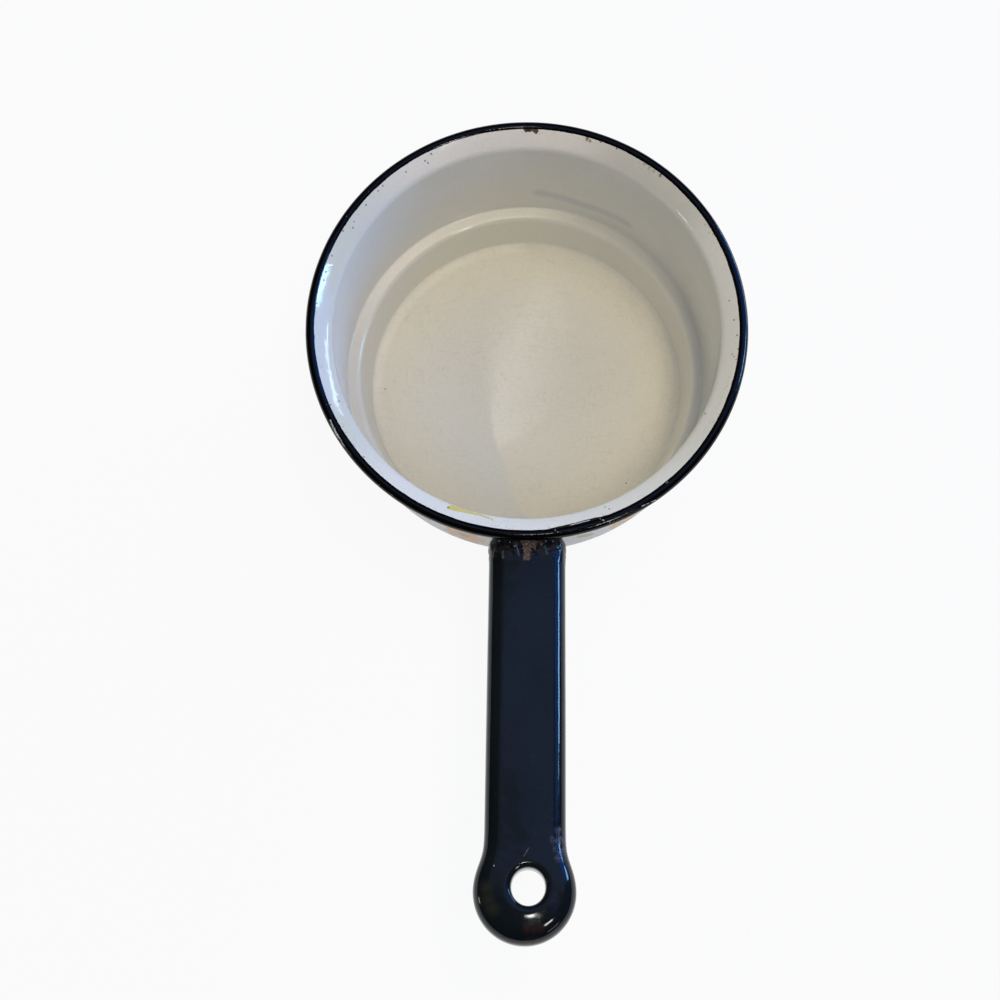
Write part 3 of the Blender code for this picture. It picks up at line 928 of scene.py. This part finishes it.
# Navy-black enamel with wear: a rough, chipped root and small marks round the eye, and painted
# highlights at the root.
navy, _, shader, place = finish("navy_black_enamel")
y = axes(place)[1]
plan = place.vector("MULTIPLY", (1.0, 1.0, 0.0))
ragged = plan.shaken(450.0, 0.0030)
fine = plan.shaken(1500.0, 0.0008)
dust = place.noise(240.0, 4.0, 0.7).step(0.55, 0.80) * 0.3
NAVY = (0.0052, 0.0078, 0.0098)
LIGHT_NAVY = (0.0070, 0.0098, 0.0130)
colour = place.noise(28.0, 2.0).step(0.35, 0.65).blend(NAVY, LIGHT_NAVY)
colour = dust.blend(colour, (0.022, 0.024, 0.028))
root = y.step(-0.0965, -0.0925)
burnt = place.noise(420.0, 3.0, 0.6).step(0.42, 0.60)
colour = (root * burnt * 0.8).blend(colour, (0.030, 0.022, 0.019))
OLIVE = grip_points((-14.6, -222.0), (-14.0, -226.0), (-12.2, -229.4))
olive = plan.marks(OLIVE, 0.0042, 0.0042)
colour = (olive * 0.4).blend(colour, (0.036, 0.036, 0.022))
REDDISH = grip_points((0.6, -236.2), (3.0, -236.4), (5.2, -235.9), (0.9, -241.4), (4.4, -241.3))
reddish = fine.marks(REDDISH, 0.0026, 0.0026)
colour = (reddish * 0.3).blend(colour, (0.075, 0.024, 0.016))
WORN_EDGE = grip_points(
    (12.6, -201.0), (11.0, -204.4), (13.0, -204.6), (12.0, -207.6), (13.4, -208.6), (12.6, -211.0)
)
worn = fine.marks(WORN_EDGE, 0.0027, 0.0025) * place.noise(700.0, 3.0, 0.7).step(0.38, 0.62)
colour = (worn * 0.55).blend(colour, (0.100, 0.096, 0.150))
ROOT_RUST = grip_points((-0.6, -89.3), (2.6, -89.3), (2.4, -91.4), (0.3, -92.4), (0.4, -95.0))
rust = ragged.marks(ROOT_RUST, 0.0019, 0.0004)
pink = place.noise(1500.0, 2.0).step(0.55, 0.65)
colour = rust.blend(colour, (pink * 0.6).blend((0.085, 0.062, 0.052), (0.36, 0.25, 0.23)))
brown = fine.marks(grip_points((-9.1, -93.2), (-9.3, -94.3), (-9.1, -95.3)), 0.0007, 0.0004)
colour = (brown * 0.7).blend(colour, (0.10, 0.083, 0.070))
pit = fine.marks(grip_points((2.5, -92.1), (3.1, -93.0), (3.8, -93.9)), 0.00075, 0.0003)
colour = pit.blend(colour, (0.004, 0.004, 0.005))
# Painted highlights: blue, teal and lavender glints on the crimps at the grip's root.
crease_glint = line_gap(fine, *grip_points((-4.0, -89.5), (-2.8, -94.4))).step(0.0005, 0.0001)
colour = (crease_glint * 0.7).blend(colour, (0.06, 0.11, 0.24))
teal_glint = line_gap(fine, *grip_points((7.5, -90.7), (8.3, -94.0))).step(0.0005, 0.0001)
colour = (teal_glint * 0.7).blend(colour, (0.03, 0.10, 0.12))
lavender_glint = fine.marks(grip_points((-4.4, -90.7), (6.1, -89.9)), 0.0006, 0.0003)
colour = (lavender_glint * 0.7).blend(colour, (0.24, 0.23, 0.32))
SPECKS = grip_points(
    (-6.4, -89.1), (-10.7, -88.7), (0.2, -89.9), (7.9, -88.6), (10.7, -88.6), (-11.7, -214.1)
)
specks = fine.marks(SPECKS, 0.00036, 0.0002)
colour = (specks * 0.8).blend(colour, (0.48, 0.48, 0.50))
scratch = line_gap(fine, *grip_points((-0.6, -210.4), (1.2, -207.5))).step(0.00022, 0.00006)
colour = (scratch * 0.5).blend(colour, (0.20, 0.21, 0.24))
feed(shader, "Base Color", colour)
rough = place.noise(60.0, 3.0) * 0.07 + 0.05 + rust * 0.5 + worn * 0.25 + root * burnt * 0.2
feed(shader, "Roughness", rough)
shader.inputs["Specular IOR Level"].default_value = 0.32
pitted = place.noise(600.0, 3.0) * root * 0.5 - rust * 0.4 - pit * 0.8
add_bump(shader, place.noise(70.0, 2.0) + pitted, 0.0003)
grip.data.materials.append(navy)
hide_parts("handle_top")
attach(grip, "root")


# Lower shell: a shallow pressed tray of the same plan, drawn in by a sheet. It is nested
# between the upper shell's sides, welded there and dipped with it, and closes the grip.
under = draw_shell(
    "grip_lower_shell",
    inset=0.0017,
    way=-1,
    crown=0.0,
    lip=0.0030,
    depth=0.0040,
    corner_round=0.0018,
)
finish_shell(under, 0.0004)

under_black, _, shader, place = finish("black_enamel_underneath")
dust = place.noise(240.0, 4.0, 0.7).step(0.50, 0.80) * 0.5
colour = dust.blend((0.008, 0.008, 0.009), (0.040, 0.037, 0.034))
feed(shader, "Base Color", colour)
feed(shader, "Roughness", place.noise(60.0, 3.0) * 0.20 + 0.18)
enamel_bump(shader, place, 70.0, 0.0004)
under.data.materials.append(under_black)
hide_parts("handle_bottom")
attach(under, "root")


# Bracket: a bent strip of bare steel inside the grip, welded to the pan's wall. It carries
# the grip and is hidden by it, so it keeps the CAD shape, and only its finish is new.
steel, _, shader, place = finish("bracket_steel")
scale = place.noise(300.0, 4.0, 0.7)
colour = scale.step(0.4, 0.7).blend((0.020, 0.020, 0.021), (0.07, 0.045, 0.03))
feed(shader, "Base Color", colour)
feed(shader, "Roughness", scale * 0.3 + 0.35)
enamel_bump(shader, place, 200.0, 0.0002)
bracket = frame["nodes"]["handle_bracket"]
bracket.data.materials.clear()
bracket.data.materials.append(steel)


# Weld: a lumpy bead of steel all round the grip's root, which joins it to the wall. The black
# enamel lies over it, chipped to rust on top. A copy of the CAD piece is made lumpy.
WELD_GRAIN = 0.00035
bpy.ops.object.select_all(action="DESELECT")
bpy.context.view_layer.objects.active = frame["nodes"]["root_weld"]
frame["nodes"]["root_weld"].select_set(True)
bpy.ops.object.duplicate()
weld = bpy.context.object
weld.name = "root_weld_bead"
weld.parent = None
weld.location.x += ROOT_SIDE
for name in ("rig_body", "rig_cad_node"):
    if name in weld:
        del weld[name]
bpy.ops.object.mode_set(mode="EDIT")
bpy.ops.mesh.select_all(action="SELECT")
bpy.ops.mesh.remove_doubles(threshold=0.00001)
bpy.ops.object.mode_set(mode="OBJECT")
bpy.ops.object.transform_apply(location=True)
grain = weld.modifiers.new("grain", "REMESH")
grain.mode = "VOXEL"
grain.voxel_size = WELD_GRAIN
bpy.ops.object.modifier_apply(modifier="grain")
lumps_cloud = bpy.data.textures.new("weld_lumps", type="CLOUDS")
lumps_cloud.noise_scale = 0.0032
lumps = weld.modifiers.new("lumps", "DISPLACE")
lumps.texture = lumps_cloud
lumps.strength = 0.0009
lumps.mid_level = 0.55
bpy.ops.object.modifier_apply(modifier="lumps")
bpy.ops.object.shade_smooth()

rust_black, _, shader, place = finish("chipped_weld_enamel")
z = axes(place)[2]
chips = place.noise(260.0, 4.0, 0.6).step(0.50, 0.58) * z.step(0.0735, 0.0750)
colour = chips.blend((0.010, 0.010, 0.011), (0.16, 0.085, 0.045))
feed(shader, "Base Color", colour)
feed(shader, "Roughness", chips * 0.5 + 0.15)
enamel_bump(shader, place, 250.0, 0.0003)
weld.data.materials.clear()
weld.data.materials.append(rust_black)
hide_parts("root_weld")
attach(weld, "root")
